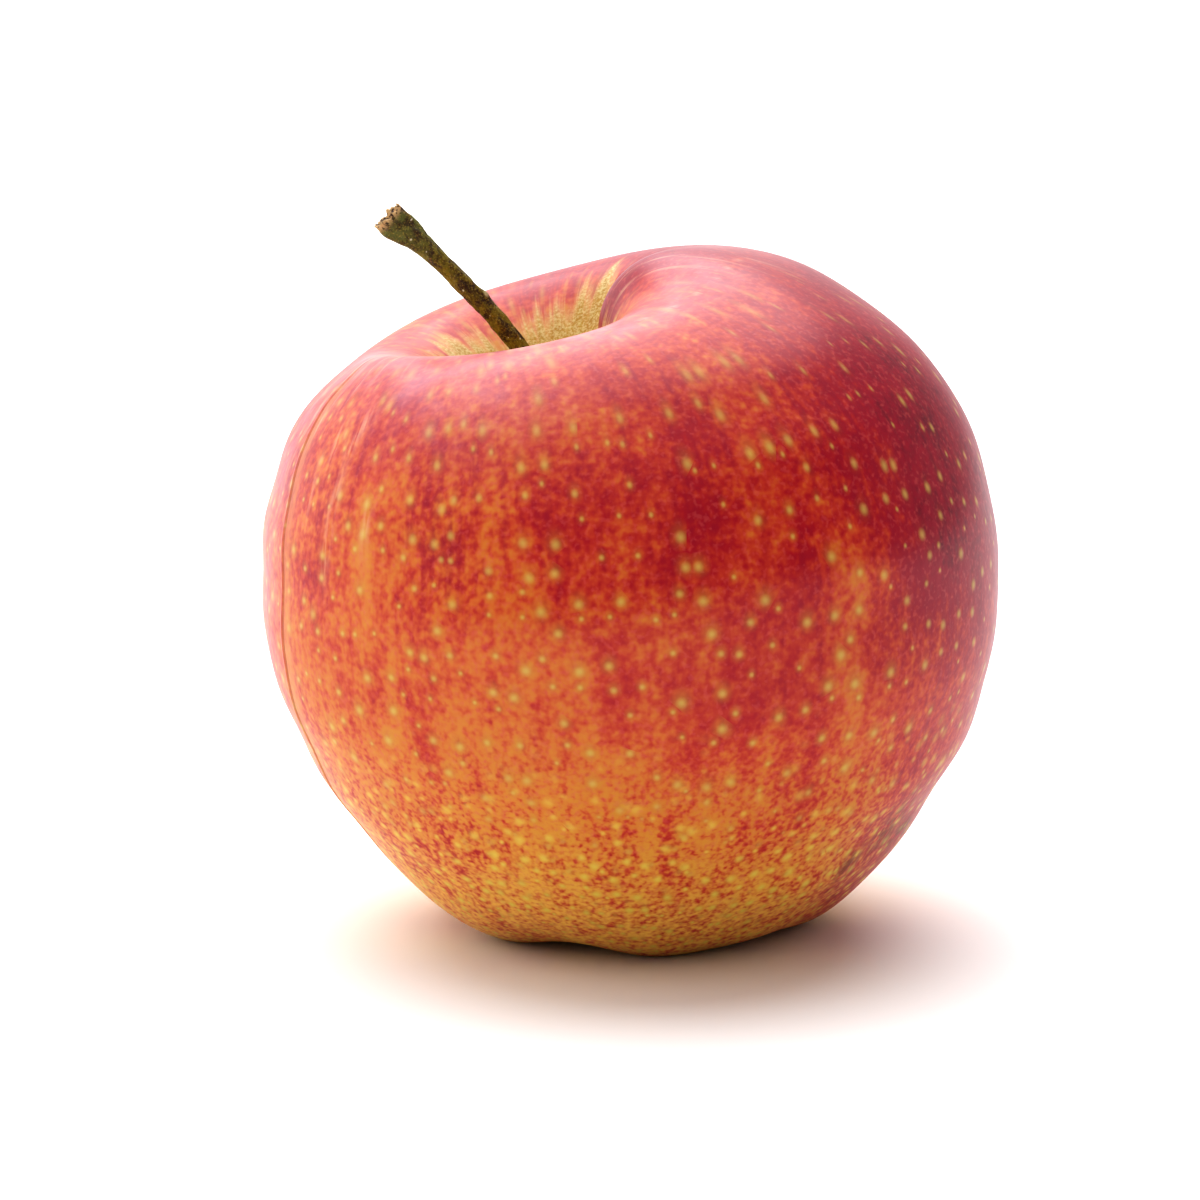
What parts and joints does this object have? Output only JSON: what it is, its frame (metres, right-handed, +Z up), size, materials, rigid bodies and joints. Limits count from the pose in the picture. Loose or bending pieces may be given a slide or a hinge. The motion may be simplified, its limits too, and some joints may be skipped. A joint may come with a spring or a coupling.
{
  "type": "apple",
  "caption": "Ripe red and yellow dessert apple with a leaning stem in an off-centre cavity, standing on the flats of its foot lobes.",
  "frame": {"origin": "on the resting surface, under the middle of the whole apple's box", "axes": "+Z up out of the stem cavity, -Y out of the front cheek, +X towards the higher shoulder, away from the stem's lean"},
  "size_m": [0.075, 0.0746, 0.0749],
  "materials": {
    "skin": "waxy apple skin, red blush over yellow, satin to glossy",
    "stem": "matt olive brown bark with a pale broken end",
    "dried_leaf": "dry, matt, grey-brown",
    "dried_stamen": "dry, matt, dark brown"
  },
  "bodies": {
    "root": {"fruit": "skin", "stem": "stem", "sepal_1": "dried_leaf", "sepal_2": "dried_leaf", "sepal_3": "dried_leaf", "sepal_4": "dried_leaf", "sepal_5": "dried_leaf", "stamen_1": "dried_stamen", "stamen_2": "dried_stamen", "stamen_3": "dried_stamen", "stamen_4": "dried_stamen", "stamen_5": "dried_stamen", "stamen_6": "dried_stamen", "stamen_7": "dried_stamen", "stamen_8": "dried_stamen", "stamen_9": "dried_stamen", "stamen_10": "dried_stamen"}
  },
  "joints": []
}
